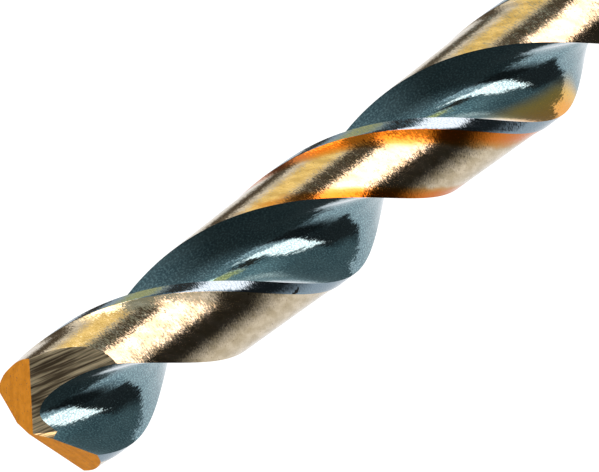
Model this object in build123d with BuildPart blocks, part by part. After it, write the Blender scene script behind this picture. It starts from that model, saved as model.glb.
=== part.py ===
from build123d import *
from math import asin, atan, atan2, ceil, cos, degrees, hypot, radians, sin, sqrt, tan
import os

# A two-flute twist drill for metal, ground from one round bar of high-speed steel.
# It stands on the flat end of its shank with the point up. The axis is +Z, and the
# origin is the centre of the shank's end face. Millimetres and degrees.
#
# A cross-section is drawn as it lies at the tip, with one cutting corner at 0 degrees.
# The flute in front of that corner fills the first quadrant, and the land behind it
# fills the fourth. The other flute, land and half of the point are half a turn round.

# Bar and shank. The shank is ground a little under the cutting diameter.
drill_diameter = 10.0
overall_length = 133.0
shank_undersize = 0.06
shank_taper_length = 1.0
shank_chamfer = 0.8

# Flutes
flute_length = 87.0
helix_lead = 48.6
web_thickness = 1.8
web_growth_per_mm = 0.008
web_direction = 60.0
floor_radius = 1.86
grinding_wheel_radius = 60.0

# Lands: a narrow margin at full diameter, then body clearance down to the heel
margin_angle = 10.1
margin_step = 0.115
heel_angle = 85.0
heel_clearance = 0.40
clearance_overrun = 8.0

# Point: two flat flanks, and two notches that split the web down to a short chisel edge
point_angle = 135.0
lip_offset = 0.665
flank_relief = 21.0
chisel_length = 0.5
split_lip_azimuth = -3.0
notch_azimuth = 46.8
notch_slope = 56.2

# How far cutters stand clear of the bar, and the turn from one section to the next
overlap = 1.0
section_turn = 15.0

# Worked out from the sizes above
drill_radius = drill_diameter / 2
turn_per_mm = 360 / helix_lead
flute_end = overall_length - flute_length
shank_radius = drill_radius - shank_undersize / 2
shank_length = flute_end - shank_taper_length
lip_fall = 1 / tan(radians(point_angle / 2))
lip_reach = sqrt(drill_radius**2 - lip_offset**2)
corner_turn = lip_reach * lip_fall * turn_per_mm
lip_azimuth = -corner_turn - degrees(asin(lip_offset / drill_radius))


def polar(radius, angle):
    """A point of the cross-section from its radius and angle."""
    return (radius * cos(radians(angle)), radius * sin(radians(angle)))


def wheel_travel(rise):
    """How far the grinding wheel moves along the drill while it lifts out by a rise."""
    return sqrt(grinding_wheel_radius**2 - (grinding_wheel_radius - rise) ** 2)


def wheel_rise(travel):
    """How far the grinding wheel has lifted out after a travel past its full depth."""
    return grinding_wheel_radius - sqrt(grinding_wheel_radius**2 - max(0.0, travel) ** 2)


def section_plane(height, direction, lift):
    """The plane of a cut's section: turned with the helix, and lifted out of the bar."""
    turned = Location((0, 0, height), (0, 0, (height - overall_length) * turn_per_mm))
    return Plane(turned * Location((*polar(lift, direction), 0)))


def section_heights(bottom):
    """Heights of a cut's sections, from just above the point down to its lowest one."""
    top = overall_length + overlap
    gaps = ceil((top - bottom) * turn_per_mm / section_turn)
    return [top + (bottom - top) * i / gaps for i in range(gaps + 1)]


def rake_point(radius):
    """A point of the flute's cutting face, curved so that the ground lip is straight."""
    reach = sqrt(radius**2 - lip_offset**2)
    offset_turn = degrees(asin(lip_offset / radius) - asin(lip_offset / drill_radius))
    return polar(radius, offset_turn - (lip_reach - reach) * lip_fall * turn_per_mm)


def falling_plane(point, azimuth, slope):
    """A plane through a point that falls towards an azimuth."""
    fall = tan(radians(slope))
    return Plane(origin=point, z_dir=(*polar(fall, azimuth), 1))


# Flute. Its outline runs in along the cutting face, round the floor and out up the heel
# wall. The grinding wheel follows the helix and draws back a little on the way to the
# shank, so that the web grows. At the end of the cut it lifts out along its own radius.
outer_radius = drill_radius + overlap
full_web_growth = flute_length * web_growth_per_mm
flute_depth = drill_radius - web_thickness / 2 - full_web_growth
full_depth_end = flute_end + wheel_travel(flute_depth)

rake_points = [rake_point(drill_radius * share) for share in (1.0, 0.8, 0.6, 0.45)]
rake_lean = degrees(atan2(rake_points[0][1] - rake_points[1][1], rake_points[0][0] - rake_points[1][0]))
web_point = polar(web_thickness / 2, web_direction)
rake_heading = polar(1, 180 + rake_lean)
web_heading = polar(1, web_direction + 90)
with BuildPart() as flute_cut:
    for height in section_heights(flute_end - overlap):
        web_growth = max(0.0, overall_length - height) * web_growth_per_mm
        lift = web_growth + wheel_rise(full_depth_end - height)
        with BuildSketch(section_plane(height, web_direction, lift)):
            with BuildLine():
                Line((outer_radius, 0), rake_points[0])
                Spline(*rake_points, web_point, tangents=(rake_heading, web_heading))
                floor = JernArc(web_point, web_heading, floor_radius, -web_direction)
                wall = Line(floor @ 1, ((floor @ 1).X, outer_radius))
                ThreePointArc(wall @ 1, polar(outer_radius, 45), (outer_radius, 0))
            make_face()
    loft()

# Body clearance. It starts behind the margin with a small step, deepens towards the
# heel, and runs on a little way into the flute behind. It has run out before the
# flute's wheel begins to lift.
clearance_direction = -(margin_angle + heel_angle) / 2
clearance_rise = 2 * heel_clearance
full_clearance_end = full_depth_end + wheel_travel(clearance_rise)
step_foot = polar(drill_radius - margin_step, -margin_angle)
half_way = polar(drill_radius - (margin_step + heel_clearance) / 2, clearance_direction)
past_heel = -heel_angle - clearance_overrun
heel_foot = polar(drill_radius - heel_clearance, past_heel)
with BuildPart() as clearance_cut:
    for height in section_heights(full_depth_end):
        lift = wheel_rise(full_clearance_end - height)
        with BuildSketch(section_plane(height, clearance_direction, lift)):
            with BuildLine():
                Line(polar(outer_radius, -margin_angle), step_foot)
                ThreePointArc(step_foot, half_way, heel_foot)
                Line(heel_foot, polar(outer_radius, past_heel))
                ThreePointArc(
                    polar(outer_radius, past_heel),
                    polar(outer_radius, clearance_direction),
                    polar(outer_radius, -margin_angle),
                )
            make_face()
    loft()

# Point. Each flank is a flat face under its lip that falls away behind it. The flanks
# meet in a ridge across the tip, and each notch takes the ridge down to the chisel edge
# and carries a lip in towards the middle.
tip = (0, 0, overall_length)
flank_fall = hypot(lip_fall, tan(radians(flank_relief)))
flank_azimuth = lip_azimuth - degrees(atan(tan(radians(flank_relief)) / lip_fall))
chisel_end = (*polar(chisel_length / 2, flank_azimuth + 90), overall_length)
split_wall = Plane(origin=chisel_end, z_dir=(*polar(1, split_lip_azimuth + 90), 0))
notch_face = falling_plane(chisel_end, notch_azimuth, notch_slope)
with BuildPart(Location(tip)) as notch_cut:
    Box(4 * drill_diameter, 4 * drill_diameter, 4 * drill_diameter)
    split(bisect_by=split_wall, keep=Keep.TOP)
    split(bisect_by=notch_face, keep=Keep.TOP)

# The drill, in one piece
with BuildPart() as twist_drill:
    with BuildSketch(Plane.XZ):
        with BuildLine():
            Polyline(
                (0, 0),
                (shank_radius - shank_chamfer, 0),
                (shank_radius, shank_chamfer),
                (shank_radius, shank_length),
                (drill_radius, flute_end),
                (drill_radius, overall_length),
                (0, overall_length),
                close=True,
            )
        make_face()
    revolve(axis=Axis.Z)
    for azimuth in (flank_azimuth, flank_azimuth + 180):
        split(bisect_by=falling_plane(tip, azimuth, degrees(atan(flank_fall))), keep=Keep.BOTTOM)
    with PolarLocations(0, 2):
        add(flute_cut.part, mode=Mode.SUBTRACT)
        add(clearance_cut.part, mode=Mode.SUBTRACT)
        add(notch_cut.part, mode=Mode.SUBTRACT)

twist_drill.part.label = "twist_drill"
os.makedirs("parts", exist_ok=True)
export_step(twist_drill.part, "parts/twist_drill.step")
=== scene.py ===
from math import asin, atan, atan2, cos, hypot, pi, radians, sin, sqrt, tan

import bmesh
import bpy
import numpy as np
from mathutils import Matrix, Vector


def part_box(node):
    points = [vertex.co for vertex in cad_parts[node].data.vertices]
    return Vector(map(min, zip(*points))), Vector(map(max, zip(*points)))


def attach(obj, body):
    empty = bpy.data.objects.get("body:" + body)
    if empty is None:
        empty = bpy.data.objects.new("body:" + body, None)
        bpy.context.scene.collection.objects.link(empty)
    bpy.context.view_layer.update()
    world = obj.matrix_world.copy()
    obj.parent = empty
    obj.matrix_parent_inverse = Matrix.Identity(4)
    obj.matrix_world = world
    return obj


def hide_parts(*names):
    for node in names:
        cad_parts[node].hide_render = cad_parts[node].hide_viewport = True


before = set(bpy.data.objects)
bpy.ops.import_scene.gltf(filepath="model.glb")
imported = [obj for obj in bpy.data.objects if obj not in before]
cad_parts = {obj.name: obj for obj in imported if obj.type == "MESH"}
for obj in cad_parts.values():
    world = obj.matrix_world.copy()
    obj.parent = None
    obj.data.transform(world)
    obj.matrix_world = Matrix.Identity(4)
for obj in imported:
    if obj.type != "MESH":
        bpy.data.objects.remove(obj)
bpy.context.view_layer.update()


# ---------------------------------------------------------------------------
# The bar. The whole drill is one bar of high-speed steel: a plain shank, ground a
# little under size with a chamfered end, and a body at the full cutting diameter.
# Sizes are in millimetres, as on a tool drawing, and MM turns them into metres.
# ---------------------------------------------------------------------------
MM = 0.001
low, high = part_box("twist_drill")
LENGTH = (high.z - low.z) / MM
RADIUS = (high.x - low.x) / MM / 2
SHANK_UNDERSIZE = 0.06
SHANK_RADIUS = RADIUS - SHANK_UNDERSIZE / 2
SHANK_CHAMFER = 0.8
SHANK_TAPER = 1.0

FLUTE_LENGTH = 87.0
FLUTE_END = LENGTH - FLUTE_LENGTH
SHANK_LENGTH = FLUTE_END - SHANK_TAPER


def bar_radius(height):
    """The bar's own radius at each height, before any cut is made in it."""
    heights = [0, SHANK_CHAMFER, SHANK_LENGTH, FLUTE_END]
    radii = [SHANK_RADIUS - SHANK_CHAMFER, SHANK_RADIUS, SHANK_RADIUS, RADIUS]
    return np.interp(height, heights, radii)


# ---------------------------------------------------------------------------
# The flutes. Two grinding wheels follow the helix and leave a smooth rounded floor
# between a cutting face and a heel wall. Both lift out of the bar over the last stretch.
# ---------------------------------------------------------------------------
HELIX_LEAD = 48.6
WEB = 1.8
WEB_GROWTH = 0.008
WEB_DIRECTION = radians(60)
FLOOR_RADIUS = 1.86
WHEEL_RADIUS = 60.0
CUTTING_FACE_END = 0.45 * RADIUS
OUTSIDE_THE_BAR = RADIUS + 1.5

POINT_ANGLE = radians(135)
LIP_OFFSET = 0.665
LIP_FALL = 1 / tan(POINT_ANGLE / 2)
LIP_REACH = sqrt(RADIUS**2 - LIP_OFFSET**2)
TURN_PER_MM = 2 * pi / HELIX_LEAD


def wheel_travel(rise):
    """How far the grinding wheel moves along the drill while it lifts out by a rise."""
    return sqrt(WHEEL_RADIUS**2 - (WHEEL_RADIUS - rise) ** 2)


def wheel_rise(travel):
    """How far the grinding wheel has lifted out after a travel past its full depth."""
    return WHEEL_RADIUS - sqrt(WHEEL_RADIUS**2 - max(0.0, travel) ** 2)


def bezier(p0, p1, p2, p3, count):
    """Points along one cubic curve that starts at p0 and ends at p3."""
    t = np.linspace(0, 1, count)[:, None]
    return (1 - t) ** 3 * p0 + 3 * t * (1 - t) ** 2 * p1 + 3 * t**2 * (1 - t) * p2 + t**3 * p3


def polar(radius, angle):
    """The point, or points, at a radius and an angle in the drill's section."""
    return np.array([radius * np.cos(angle), radius * np.sin(angle)]).T


def flute_outline():
    """The flute's section in front of a cutting corner at angle 0: in along the cutting
    face, round the floor and out up the heel wall. It starts and ends outside the bar."""
    radii = np.linspace(RADIUS, CUTTING_FACE_END, 90)
    offset_turn = np.arcsin(LIP_OFFSET / radii) - asin(LIP_OFFSET / RADIUS)
    fallen = (LIP_REACH - np.sqrt(radii**2 - LIP_OFFSET**2)) * LIP_FALL
    rake = polar(radii, offset_turn - fallen * TURN_PER_MM)
    web = polar(WEB / 2, WEB_DIRECTION)
    along = rake[-1] - rake[-2]
    along /= np.linalg.norm(along)
    across = polar(1, WEB_DIRECTION + pi / 2)
    reach = np.linalg.norm(web - rake[-1]) / 3
    blend = bezier(rake[-1], rake[-1] + reach * along, web - reach * across, web, 60)
    centre = polar(WEB / 2 + FLOOR_RADIUS, WEB_DIRECTION)
    turns = np.linspace(pi + WEB_DIRECTION, pi, 60)
    floor = centre + polar(FLOOR_RADIUS, turns)
    wall = np.linspace(floor[-1], [floor[-1][0], OUTSIDE_THE_BAR], 90)
    lead_in = np.linspace([OUTSIDE_THE_BAR, 0], rake[0], 12)
    return np.concatenate([lead_in[:-1], rake, blend[1:], floor[1:], wall[1:]])


FLUTE_COLUMNS = 46
OUTLINE = flute_outline()
FULL_DEPTH_END = FLUTE_END + wheel_travel(RADIUS - WEB / 2 - FLUTE_LENGTH * WEB_GROWTH)


def reckon(tree, operation, *inputs):
    """One Math node. Its inputs are sockets or plain numbers."""
    node = tree.nodes.new("ShaderNodeMath")
    node.operation = operation
    for socket, value in zip(node.inputs, inputs):
        if isinstance(value, bpy.types.NodeSocket):
            tree.links.new(value, socket)
        else:
            socket.default_value = value
    return node.outputs[0]


def span(tree, value, low, high, to_low=0.0, to_high=1.0):
    """A value's share of the way from low to high, eased at both ends. The share runs from
    to_low to to_high."""
    node = tree.nodes.new("ShaderNodeMapRange")
    node.interpolation_type = "SMOOTHSTEP"
    tree.links.new(value, node.inputs["Value"])
    node.inputs["From Min"].default_value = low
    node.inputs["From Max"].default_value = high
    node.inputs["To Min"].default_value = to_low
    node.inputs["To Max"].default_value = to_high
    return node.outputs["Result"]


def blend_colours(tree, share, first, second):
    """One Mix node for colours. share is how much of the second colour shows."""
    node = tree.nodes.new("ShaderNodeMix")
    node.data_type = "RGBA"
    node.clamp_result = False
    sockets = (node.inputs[0], node.inputs[6], node.inputs[7])
    for socket, value in zip(sockets, (share, first, second)):
        if isinstance(value, bpy.types.NodeSocket):
            tree.links.new(value, socket)
        elif isinstance(value, tuple):
            socket.default_value = (*value, 1)
        else:
            socket.default_value = value
    return node.outputs[2]


def ground_finish(name, metallic, roughness):
    """A new finish with its shader, ready for the nodes of its colour and grinding."""
    finish = bpy.data.materials.new(name)
    finish.use_nodes = True
    shader = finish.node_tree.nodes["Principled BSDF"]
    shader.inputs["Metallic"].default_value = metallic
    shader.inputs["Roughness"].default_value = roughness
    shader.inputs["IOR"].default_value = 1.5
    return finish, finish.node_tree, shader


def surface_layer(tree, layer):
    """The two numbers that a named layer holds at a point of the surface, as a vector."""
    node = tree.nodes.new("ShaderNodeUVMap")
    node.uv_map = layer
    return node.outputs["UV"]


def heat_tints_and_nick_shade(tree):
    """The two numbers of the layer of heat tints and nick shade: X is a land's heat tint. Y is a
    flute's heat tint, or -1 in the nick, which marks painted shade on the margin there.
    """
    node = tree.nodes.new("ShaderNodeSeparateXYZ")
    tree.links.new(surface_layer(tree, "heat"), node.inputs[0])
    return node.outputs


def grain(tree, place, across, along, detail, shift=0.0):
    """Noise with this many grains per millimetre across the surface and along the drill.
    shift moves it, so that two noises on one surface don't fall together."""
    stretch = tree.nodes.new("ShaderNodeMapping")
    tree.links.new(place, stretch.inputs["Vector"])
    stretch.inputs["Scale"].default_value = (across, along, 1)
    stretch.inputs["Location"].default_value = (shift, shift, 0)
    node = tree.nodes.new("ShaderNodeTexNoise")
    tree.links.new(stretch.outputs["Vector"], node.inputs["Vector"])
    node.inputs["Scale"].default_value = 1.0
    node.inputs["Detail"].default_value = detail
    return node


def tilt(tree, colour, across, along):
    """Lean the surface with a noise colour, by these amounts across it and along the drill."""
    centred = tree.nodes.new("ShaderNodeVectorMath")
    centred.operation = "MULTIPLY_ADD"
    tree.links.new(colour, centred.inputs[0])
    centred.inputs[1].default_value = (across, along, 0)
    centred.inputs[2].default_value = (0.5 - across / 2, 0.5 - along / 2, 1)
    node = tree.nodes.new("ShaderNodeNormalMap")
    node.uv_map = "ground"
    tree.links.new(centred.outputs[0], node.inputs["Color"])
    return node.outputs["Normal"]


flute_finish, tree, shader = ground_finish("flute_black_oxide", 1.0, 0.085)
place = surface_layer(tree, "ground")
cloud = grain(tree, place, 0.9, 0.5, 3.0).outputs["Fac"]
speck = grain(tree, place, 8.0, 6.0, 3.0, 4.0).outputs["Fac"]
teal = blend_colours(tree, span(tree, cloud, 0.35, 0.65), (0.115, 0.195, 0.225), (0.165, 0.25, 0.275))
teal = blend_colours(tree, span(tree, speck, 0.42, 0.70), teal, (0.30, 0.45, 0.48))
heat = heat_tints_and_nick_shade(tree)
amber = blend_colours(tree, span(tree, heat["Y"], 0.35, 1.0), (0.75, 0.46, 0.10), (0.85, 0.36, 0.03))
dusting = span(tree, speck, 0.2, 0.5, 0.6, 1.0)
shown = reckon(tree, "MULTIPLY", span(tree, heat["Y"], 0.02, 0.5), dusting)
tree.links.new(blend_colours(tree, shown, teal, amber), shader.inputs["Base Color"])
wheel_lines = grain(tree, place, 13.0, 1.5, 2.0, 9.0).outputs["Color"]
pores = grain(tree, place, 6.0, 6.0, 3.0, 2.0).outputs["Color"]
both = blend_colours(tree, 0.35, wheel_lines, pores)
tree.links.new(tilt(tree, both, 0.15, 0.10), shader.inputs["Normal"])


# ---------------------------------------------------------------------------
# The lands. Each has a narrow margin at the full diameter along its cutting corner. Behind
# it the clearance wheel leaves a shallow hollow curve, then deepens as far as the heel.
# ---------------------------------------------------------------------------
MARGIN_ANGLE = radians(10.1)
MARGIN_STEP = 0.115
HEEL_ANGLE = radians(85)
HEEL_CLEARANCE = 0.40
DEEPEST_CLEARANCE_ANGLE = radians(93)
CLEARANCE_SPAN = DEEPEST_CLEARANCE_ANGLE - MARGIN_ANGLE
CLEARANCE_MIDDLE = (MARGIN_ANGLE + HEEL_ANGLE) / 2
CLEARANCE_END = FULL_DEPTH_END + wheel_travel(2 * HEEL_CLEARANCE)
HOLLOW_ANGLE = radians(15.5)
LAND_COLUMNS = 24
MARGIN_COLUMNS = 4


def land_radius(behind, height):
    """The land's radius at an angle behind its cutting corner."""
    deepening = (behind - MARGIN_ANGLE) / CLEARANCE_SPAN * (HEEL_CLEARANCE - MARGIN_STEP)
    lift = wheel_rise(CLEARANCE_END - height) * np.cos(behind - CLEARANCE_MIDDLE)
    hollow = np.clip(1 - (behind - MARGIN_ANGLE) / HOLLOW_ANGLE, 0, 1) ** 2 * MARGIN_STEP
    ground = RADIUS - MARGIN_STEP - deepening + hollow + lift
    return np.where(behind < MARGIN_ANGLE, RADIUS, np.minimum(ground, RADIUS))


def half_section(height, closed_at):
    """Half of the drill's section, from one cutting corner round its flute and the next
    land to the other corner. closed_at holds the angles of the flute's two edges where it
    last broke through the bar's skin, for the run-out where it no longer does."""
    lift = max(0.0, LENGTH - height) * WEB_GROWTH + wheel_rise(FULL_DEPTH_END - height)
    points = OUTLINE + lift * polar(1, WEB_DIRECTION)
    radius = np.hypot(points[:, 0], points[:, 1])
    angle = np.arctan2(points[:, 1], points[:, 0])
    limit = land_radius(pi - angle, height)
    limit[angle < pi / 4] = RADIUS
    inside = np.flatnonzero(radius < limit)
    if len(inside) > 4:
        first, last = inside[0], inside[-1]
        outside_before = radius[first - 1] - limit[first - 1]
        enter = outside_before / (outside_before + limit[first] - radius[first])
        inside_before = limit[last] - radius[last]
        leave = inside_before / (inside_before + radius[last + 1] - limit[last + 1])
        corner = points[first - 1] + enter * (points[first] - points[first - 1])
        heel = points[last] + leave * (points[last + 1] - points[last])
        flute = np.concatenate([[corner], points[inside], [heel]])
        closed_at[:] = [atan2(corner[1], corner[0]), atan2(heel[1], heel[0])]
        run = np.concatenate([[0], np.cumsum(np.hypot(*np.diff(flute, axis=0).T))])
        stations = np.linspace(0, run[-1], FLUTE_COLUMNS + 1)
        flute = np.array([np.interp(stations, run, flute[:, i]) for i in (0, 1)]).T
    else:
        turns = np.linspace(*closed_at, FLUTE_COLUMNS + 1)
        flute = polar(RADIUS, turns)
    corner_angle, heel_angle = closed_at
    margin_angle = pi - MARGIN_ANGLE
    share = 1 - np.linspace(1, 0, LAND_COLUMNS + 1) ** 1.5
    turns = heel_angle + share * (margin_angle - heel_angle)
    land = polar(1, turns) * land_radius(pi - turns, height)[:, None]
    turns = np.linspace(margin_angle, pi + corner_angle, MARGIN_COLUMNS + 1)
    margin = polar(RADIUS, turns)
    return np.concatenate([flute[:-1], land[:-1], margin[:-1]])


land_finish, tree, shader = ground_finish("land_bronze", 1.0, 0.13)
place = surface_layer(tree, "ground")
cloud = grain(tree, place, 1.1, 0.8, 3.0).outputs["Fac"]
speck = grain(tree, place, 5.0, 8.0, 3.0, 5.0).outputs["Fac"]
bronze = blend_colours(tree, span(tree, cloud, 0.35, 0.65), (0.60, 0.50, 0.35), (0.45, 0.365, 0.23))
bronze = blend_colours(tree, span(tree, speck, 0.60, 0.72), bronze, (0.36, 0.28, 0.18))
pit = grain(tree, place, 4.5, 4.5, 1.0, 7.0).outputs["Fac"]
bronze = blend_colours(tree, span(tree, pit, 0.73, 0.77), bronze, (0.12, 0.08, 0.05))
heat = heat_tints_and_nick_shade(tree)
unevenness = reckon(tree, "MULTIPLY", reckon(tree, "SUBTRACT", cloud, 0.5), 0.4)
ragged = reckon(tree, "ADD", heat["X"], unevenness)
straw = blend_colours(tree, span(tree, ragged, 0.05, 0.55), bronze, (0.48, 0.23, 0.055))
amber = blend_colours(tree, span(tree, ragged, 0.35, 0.95), straw, (0.55, 0.150, 0.011))
tree.links.new(amber, shader.inputs["Base Color"])
strokes = grain(tree, place, 3.2, 13.0, 2.0, 9.0).outputs["Color"]
pores = grain(tree, place, 7.0, 8.0, 3.0, 2.0).outputs["Color"]
both = blend_colours(tree, 0.5, strokes, pores)
tree.links.new(tilt(tree, both, 0.23, 0.16), shader.inputs["Normal"])

margin_finish, tree, shader = ground_finish("margin_blue_steel", 1.0, 0.12)
place = surface_layer(tree, "ground")
speck = grain(tree, place, 8.0, 8.0, 3.0, 5.0).outputs["Fac"]
steel = blend_colours(tree, span(tree, speck, 0.35, 0.65), (0.17, 0.235, 0.28), (0.22, 0.29, 0.335))
heat = heat_tints_and_nick_shade(tree)
# The nick turns the margin near-black: painted shade for a chip that the mesh doesn't cut.
steel = blend_colours(tree, span(tree, heat["Y"], -0.1, -0.6), steel, (0.012, 0.012, 0.010))
tree.links.new(steel, shader.inputs["Base Color"])
strokes = grain(tree, place, 4.0, 12.0, 2.0, 9.0).outputs["Color"]
tree.links.new(tilt(tree, strokes, 0.14, 0.10), shader.inputs["Normal"])


# ---------------------------------------------------------------------------
# The ground blank. All the cuts run the length of one piece of steel, so the body and
# shank are one skin. Two layers on it hold millimetres over the surface and heat tints,
# with a mark where the margin gets the nick's painted shade.
GRINDING_ALLOWANCE = 0.45
FINE_ROWS_END = 76
FINE_ROW = 0.15
COARSE_ROW = 0.3
RUN_OUT = 0.5


def row_heights():
    """Heights of the mesh's rings: close together where the cuts are, wide on the shank."""
    point = np.arange(LENGTH + GRINDING_ALLOWANCE, FINE_ROWS_END, -FINE_ROW)
    body = np.arange(point[-1] - 0.25, FLUTE_END - 0.4, -COARSE_ROW)
    shank = [SHANK_LENGTH, 30, 15, 4, SHANK_CHAMFER, 0]
    return np.concatenate([point, body, shank])


def drill_rings():
    """Every ring of the body and shank, as an array of rows, columns and coordinates."""
    rings = []
    closed_at = [0.0, pi - HEEL_ANGLE]
    for height in row_heights():
        half = half_section(max(height, FLUTE_END - RUN_OUT), closed_at)
        ring = np.concatenate([half, -half])
        ring *= np.minimum(1, bar_radius(height) / RADIUS)
        turn = (max(height, FLUTE_END) - LENGTH) * TURN_PER_MM
        x = ring[:, 0] * cos(turn) - ring[:, 1] * sin(turn)
        y = ring[:, 0] * sin(turn) + ring[:, 1] * cos(turn)
        rings.append(np.stack([x, y, np.full(len(x), height)], axis=1))
    return np.array(rings)


HEAT_TOP = 112.0
HEAT_FULL = 100.0
MARGIN_TINT_WIDTH = 1.15
HEEL_TINT_WIDTH = 0.85
PATCH_TOP = 88
PATCH_BOTTOM = 72.5
PATCH_WIDTH = 2.2
NICK_HEIGHT = 110.0
NICK_ROWS = 5
EDGE_SLOPE = cos(atan(RADIUS * TURN_PER_MM))

rings = drill_rings()
rows, columns = rings.shape[:2]
half = columns // 2
heights = rings[:, 0, 2]
steps = np.roll(rings, -1, axis=1) - rings
spans = np.linalg.norm(steps, axis=2)
run = np.zeros((rows, columns + 1))
run[:, 1:] = np.cumsum(spans, axis=1)
run[:, half:] -= run[:, half : half + 1]

ease = np.clip((HEAT_TOP - heights) / (HEAT_TOP - HEAT_FULL), 0, 1)
ease = (ease**2 * (3 - 2 * ease))[:, None]
ease = ease * (heights[:, None] > FLUTE_END)
heat = np.zeros((rows, columns, 2))
land = slice(half + FLUTE_COLUMNS, half + FLUTE_COLUMNS + LAND_COLUMNS + 1)
from_heel = (run[:, land] - run[:, land][:, :1]) * EDGE_SLOPE
from_margin = (run[:, land][:, -1:] - run[:, land]) * EDGE_SLOPE
margin_tint = np.clip(1.4 - from_margin / MARGIN_TINT_WIDTH, 0, 1)
heel_tint = np.clip(1.25 - from_heel / HEEL_TINT_WIDTH, 0, 1)
heat[:, land, 0] = ease * np.maximum(margin_tint, heel_tint)
flute = slice(0, FLUTE_COLUMNS + 1)
fade_in = np.clip((PATCH_TOP - heights[:, None]) / 6, 0, 1)
fade_out = np.clip((heights[:, None] - PATCH_BOTTOM) / 4, 0, 1)
patch = np.clip(1.1 - run[:, flute] * EDGE_SLOPE / PATCH_WIDTH, 0, 1)
heat[:, flute, 1] = fade_in * fade_out * ease * patch

# The nick: a few vertices on one margin, marked for painted shade in place of a cut chip.
nick_row = np.argmin(abs(heights - NICK_HEIGHT))
for step in range(NICK_ROWS):
    heat[nick_row + step, FLUTE_COLUMNS + LAND_COLUMNS + step // 2, 1] = -1

ON_LAND, IN_FLUTE, ON_MARGIN = range(3)
faces = []
finishes = []
ground_layer = []
heat_and_nick_shade_layer = []
for row in range(rows - 1):
    on_body = heights[row + 1] >= FLUTE_END - RUN_OUT
    for column in range(columns):
        beside = (column + 1) % columns
        corners = [(row, column), (row + 1, column), (row + 1, beside), (row, beside)]
        faces.append([r * columns + c for r, c in corners])
        for (r, c), far in zip(corners, (0, 0, 1, 1)):
            ground_layer += [run[r, column] + far * spans[r, column], heights[r]]
            heat_and_nick_shade_layer += list(heat[r, c])
        place = column % half
        if on_body and place < FLUTE_COLUMNS:
            finishes.append(IN_FLUTE)
        elif on_body and place >= FLUTE_COLUMNS + LAND_COLUMNS:
            finishes.append(ON_MARGIN)
        else:
            finishes.append(ON_LAND)
for ring, order in ((0, range(columns)), (rows - 1, reversed(range(columns)))):
    order = list(order)
    faces.append([ring * columns + c for c in order])
    for c in order:
        ground_layer += [rings[ring, c, 0], rings[ring, c, 1]]
        heat_and_nick_shade_layer += [0, 0]
    finishes.append(ON_LAND)

mesh = bpy.data.meshes.new("twist_drill_bit")
mesh.from_pydata((rings.reshape(-1, 3) * MM).tolist(), [], faces)
for finish in (land_finish, flute_finish, margin_finish):
    mesh.materials.append(finish)
mesh.polygons.foreach_set("material_index", finishes)
mesh.uv_layers.new(name="ground").data.foreach_set("uv", ground_layer)
mesh.uv_layers.new(name="heat").data.foreach_set("uv", heat_and_nick_shade_layer)
drill = bpy.data.objects.new("twist_drill_bit", mesh)
bpy.context.scene.collection.objects.link(drill)


# ---------------------------------------------------------------------------
# The point. Two flat flanks are ground on the end of the bar, and two notches split the
# web down to a short chisel edge. Each cutter here is the space that a wheel sweeps.
# ---------------------------------------------------------------------------
FLANK_RELIEF = radians(21)
CHISEL_LENGTH = 0.5
SPLIT_LIP_AZIMUTH = radians(-3)
NOTCH_AZIMUTH = radians(46.8)
NOTCH_SLOPE = radians(56.2)
GRINDING_AZIMUTH = radians(20)
GRINDING_SLOPE = radians(53)
CUTTER_REACH = 40.0
SLIVER = 0.002
SHARP_ANGLE = radians(25)

tip = Vector((0, 0, LENGTH))
lip_azimuth = -LIP_REACH * LIP_FALL * TURN_PER_MM - asin(LIP_OFFSET / RADIUS)
flank_azimuth = lip_azimuth - atan(tan(FLANK_RELIEF) / LIP_FALL)
flank_slope = atan(hypot(LIP_FALL, tan(FLANK_RELIEF)))


def heading(azimuth, slope=0.0):
    """A unit vector towards an azimuth, falling at a slope."""
    return Vector((cos(azimuth) * cos(slope), sin(azimuth) * cos(slope), -sin(slope)))


def wedge(name, edge, along, first, second, lines, finish):
    """A cutter with one sharp edge, and a flat face leaving that edge in each direction.
    lines is the way that the wheel's marks run over what it cuts."""
    corners = []
    for end in (-CUTTER_REACH, CUTTER_REACH):
        foot = edge + along * end
        corners += [foot, foot + first * CUTTER_REACH, foot + second * CUTTER_REACH]
    faces = [(0, 1, 2), (3, 5, 4), (0, 3, 4, 1), (1, 4, 5, 2), (2, 5, 3, 0)]
    mesh = bpy.data.meshes.new(name)
    mesh.from_pydata([corner * MM for corner in corners], [], faces)
    mesh.materials.append(finish)
    shape = bmesh.new()
    shape.from_mesh(mesh)
    bmesh.ops.recalc_face_normals(shape, faces=shape.faces)
    shape.to_mesh(mesh)
    shape.free()
    across = lines.cross(first + second).normalized()
    ground = mesh.uv_layers.new(name="ground")
    mesh.uv_layers.new(name="heat")
    for loop in mesh.loops:
        corner = corners[loop.vertex_index]
        ground.data[loop.index].uv = (corner.dot(across), corner.dot(lines))
    cutter = bpy.data.objects.new(name, mesh)
    bpy.context.scene.collection.objects.link(cutter)
    return cutter


def flank_cutter(turn):
    """Everything above one flank, as a wedge whose edge lies well outside the bar."""
    downhill = heading(flank_azimuth + turn, flank_slope)
    level = heading(flank_azimuth + turn + pi / 2)
    edge = tip - downhill * CUTTER_REACH / 2
    return wedge("flank_wheel", edge, level, downhill, Vector((0, 0, 1)), level, flank_finish)


def notch_cutter(turn):
    """The notch in front of one lip: an upright wall under the lip and a sloping face."""
    edge = tip + heading(flank_azimuth + pi / 2 + turn) * CHISEL_LENGTH / 2
    wall_normal = heading(SPLIT_LIP_AZIMUTH + pi / 2 + turn)
    face_normal = heading(NOTCH_AZIMUTH + turn, NOTCH_SLOPE - pi / 2)
    along = wall_normal.cross(face_normal).normalized()
    up_wall = along.cross(wall_normal)
    up_wall *= 1 if up_wall.z > 0 else -1
    up_face = along.cross(face_normal)
    up_face *= 1 if up_face.dot(wall_normal) > 0 else -1
    lines = heading(GRINDING_AZIMUTH + turn, GRINDING_SLOPE)
    return wedge("notch_wheel", edge, along, up_wall, up_face, lines, notch_finish)


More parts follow.
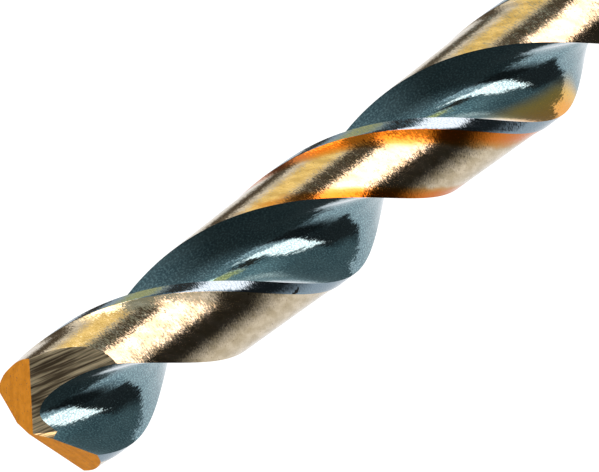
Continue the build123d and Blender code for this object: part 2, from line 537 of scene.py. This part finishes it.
def cut(drill, cutter):
    """Take one cutter's space out of the drill. The cut faces get the cutter's finish."""
    step = drill.modifiers.new("cut", "BOOLEAN")
    step.operation = "DIFFERENCE"
    step.solver = "EXACT"
    step.material_mode = "TRANSFER"
    step.object = cutter
    posed = drill.evaluated_get(bpy.context.evaluated_depsgraph_get())
    drill.data = bpy.data.meshes.new_from_object(posed)
    drill.modifiers.clear()
    bpy.data.objects.remove(cutter)
    tidy = bmesh.new()
    tidy.from_mesh(drill.data)
    bmesh.ops.dissolve_degenerate(tidy, dist=SLIVER * MM, edges=tidy.edges)
    tidy.to_mesh(drill.data)
    tidy.free()


flank_finish, tree, shader = ground_finish("flank_orange_oxide", 0.0, 0.65)
shader.inputs["Specular IOR Level"].default_value = 0.15
place = surface_layer(tree, "ground")
cloud = grain(tree, place, 1.5, 1.5, 3.0).outputs["Fac"]
speck = grain(tree, place, 5.0, 5.0, 3.0, 3.0).outputs["Fac"]
orange = blend_colours(tree, span(tree, cloud, 0.35, 0.65), (0.52, 0.180, 0.006), (0.62, 0.225, 0.012))
orange = blend_colours(tree, span(tree, speck, 0.58, 0.70), orange, (0.30, 0.12, 0.03))
tree.links.new(orange, shader.inputs["Base Color"])
marks = grain(tree, place, 8.0, 3.0, 3.0, 9.0).outputs["Color"]
tree.links.new(tilt(tree, marks, 0.12, 0.12), shader.inputs["Normal"])

notch_finish, tree, shader = ground_finish("notch_ground_steel", 1.0, 0.34)
place = surface_layer(tree, "ground")
coarse = grain(tree, place, 3.6, 0.14, 3.0).outputs["Fac"]
fine = grain(tree, place, 9.0, 0.5, 2.0, 3.0).outputs["Fac"]
lines = reckon(tree, "ADD", reckon(tree, "MULTIPLY", coarse, 0.7), reckon(tree, "MULTIPLY", fine, 0.3))
brown = blend_colours(tree, span(tree, lines, 0.40, 0.60), (0.15, 0.10, 0.06), (1.0, 0.74, 0.46))
tree.links.new(brown, shader.inputs["Base Color"])
marks = grain(tree, place, 5.0, 0.2, 3.0, 9.0).outputs["Color"]
tree.links.new(tilt(tree, marks, 0.35, 0.05), shader.inputs["Normal"])

for turn in (0, pi):
    cut(drill, flank_cutter(turn))
for turn in (0, pi):
    cut(drill, notch_cutter(turn))
drill.data.shade_smooth()
drill.data.set_sharp_from_angle(angle=SHARP_ANGLE)
# The flutes mirror the studio alone, without each other.
drill.visible_glossy = False
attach(drill, "root")
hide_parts("twist_drill")


# ---------------------------------------------------------------------------
# The studio. The drill stands on pale paper under one wide soft lamp. The steel mirrors a
# room of boards, screens and a soft window, which only mirror rays see. Angles are in
# degrees: around from the side that the camera is on, and elevation up from level.
# ---------------------------------------------------------------------------
CAMERA_SIDE = 42.35


def band(value, opens, opened, closing, closed):
    """1 between opened and closing, easing to 0 at opens and at closed."""
    rise = span(room, value, opens, opened)
    return reckon(room, "MULTIPLY", rise, span(room, value, closing, closed, 1, 0))


def crossing(across, up):
    """The part of the room that is in both of two bands."""
    return reckon(room, "MULTIPLY", across, up)


def leaning(value, other, amount):
    """A value that grows with a share of another, so that a panel's edge stands at a slant."""
    return reckon(room, "ADD", value, reckon(room, "MULTIPLY", other, amount))


world = bpy.data.worlds.new("studio")
bpy.context.scene.world = world
world.use_nodes = True
world.cycles.sampling_method = "NONE"
room = world.node_tree
parts = room.nodes.new("ShaderNodeSeparateXYZ")
room.links.new(room.nodes.new("ShaderNodeTexCoord").outputs["Generated"], parts.inputs[0])
azimuth = reckon(room, "ARCTAN2", parts.outputs["Y"], parts.outputs["X"])
azimuth = reckon(room, "MULTIPLY", azimuth, 180 / pi)
around = reckon(room, "WRAP", reckon(room, "SUBTRACT", CAMERA_SIDE, azimuth), 180, -180)
elevation = reckon(room, "MULTIPLY", reckon(room, "ARCSINE", parts.outputs["Z"]), 180 / pi)

gold_board = band(around, -112, -92, -76, -58)
seen = blend_colours(room, gold_board, (1.06, 1.07, 1.10), (1.45, 1.15, 0.48))
far_dark_board = band(around, -150, -138, -124, -112)
seen = blend_colours(room, far_dark_board, seen, (0.12, 0.10, 0.08))
near_dark_board = band(around, -68, -56, -36, -28)
seen = blend_colours(room, near_dark_board, seen, (0.09, 0.07, 0.055))
black_board = band(around, 8, 26, 54, 104)
seen = blend_colours(room, black_board, seen, (0.03, 0.03, 0.03))

lit_wall_top = crossing(band(around, -110, -96, -68, -54), band(elevation, -26.5, -22, -7, -1))
seen = blend_colours(room, lit_wall_top, seen, (4.5, 4.3, 3.9))
curtain = crossing(band(around, -72, -66, -24, -14), band(elevation, -28.5, -26.5, -12, -8))
seen = blend_colours(room, curtain, seen, (0.46, 0.54, 0.56))

ceiling_edge = span(room, leaning(elevation, around, 0.05), -17, -13)
ceiling = crossing(ceiling_edge, band(around, -58, -44, 152, 166))
ceiling_shade = blend_colours(room, span(room, around, -56, 50), (0.40, 0.46, 0.48), (0.06, 0.07, 0.07))
seen = blend_colours(room, ceiling, seen, ceiling_shade)

table_edge = span(room, elevation, -38.5, -35, 1, 0)
table = crossing(table_edge, band(around, -160, -148, 98, 104))
table_shade = blend_colours(room, span(room, around, -80, 20), (0.48, 0.60, 0.62), (0.17, 0.22, 0.23))
table_shade = blend_colours(room, span(room, elevation, -62, -44), (0.19, 0.24, 0.25), table_shade)
seen = blend_colours(room, table, seen, table_shade)
paper_edge = crossing(band(elevation, -58, -51, -47, -42), band(around, -134, -116, -100, -86))
seen = blend_colours(room, paper_edge, seen, (1.0, 1.0, 0.95))
black_screen = crossing(band(elevation, -72, -58, -38, -34), band(around, 16, 30, 97, 101))
seen = blend_colours(room, black_screen, seen, (0.05, 0.05, 0.05))

window_sides = leaning(around, reckon(room, "ADD", elevation, 30), 0.9)
window_height = leaning(elevation, around, 0.15)
soft_window = crossing(band(window_sides, -35, -25, 12, 19), band(window_height, -50.5, -45, -30, -25))
seen = blend_colours(room, soft_window, seen, (4.7, 3.8, 3.5))

path = room.nodes.new("ShaderNodeLightPath")
clear = reckon(room, "MAXIMUM", path.outputs["Is Camera Ray"], path.outputs["Is Transmission Ray"])
plain_light = blend_colours(room, clear, (0.7, 0.7, 0.7), (1.0, 1.0, 1.0))
light = blend_colours(room, path.outputs["Is Glossy Ray"], plain_light, seen)
room.links.new(light, room.nodes["Background"].inputs["Color"])

lamp = bpy.data.lights.new("soft_lamp", "AREA")
lamp.shape = "DISK"
lamp.size = 0.8
lamp.energy = 7.5
hung = bpy.data.objects.new("soft_lamp", lamp)
hung.location = (0.75, 0.35, 1.0)
hung.rotation_euler = Vector(hung.location).to_track_quat("Z", "Y").to_euler()
hung.visible_glossy = False
bpy.context.scene.collection.objects.link(hung)

floor_mesh = bpy.data.meshes.new("floor")
floor_mesh.from_pydata([(-3, -3, 0), (3, -3, 0), (3, 3, 0), (-3, 3, 0)], [], [(0, 1, 2, 3)])
floor = bpy.data.objects.new("floor", floor_mesh)
bpy.context.scene.collection.objects.link(floor)
paper, tree, shader = ground_finish("pale_paper", 0.0, 0.9)
shader.inputs["Base Color"].default_value = (0.82, 0.82, 0.82, 1)
shader.inputs["Emission Color"].default_value = (1, 1, 1, 1)
seen_by_camera = tree.nodes.new("ShaderNodeLightPath").outputs["Is Camera Ray"]
glow = reckon(tree, "MULTIPLY", seen_by_camera, 0.40)
tree.links.new(glow, shader.inputs["Emission Strength"])
floor_mesh.materials.append(paper)
floor.visible_glossy = False


# ---------------------------------------------------------------------------
# The camera. It looks down along the drill from beyond its point, with the drill lying
# across the view from the lower left to the upper right.
# ---------------------------------------------------------------------------
camera_data = bpy.data.cameras.new("camera")
camera = bpy.data.objects.new("camera", camera_data)
bpy.context.scene.collection.objects.link(camera)
bpy.context.scene.camera = camera
camera_data.sensor_width = 36
camera_data.lens = 331.89
camera_data.clip_start = 0.01
aim = Vector((0.1433, -0.157, 104.0309)) * MM
camera_distance = 415.97 * MM
view_azimuth = radians(42.39)
view_elevation = radians(33.47)
view_roll = radians(-126.934)
back = heading(view_azimuth, -view_elevation)
level = Vector((-sin(view_azimuth), cos(view_azimuth), 0))
right = level * cos(view_roll) + back.cross(level) * sin(view_roll)
turned = Matrix((right, back.cross(right), back)).transposed().to_4x4()
camera.matrix_world = Matrix.Translation(aim + back * camera_distance) @ turned

bpy.context.scene.view_settings.view_transform = "Standard"
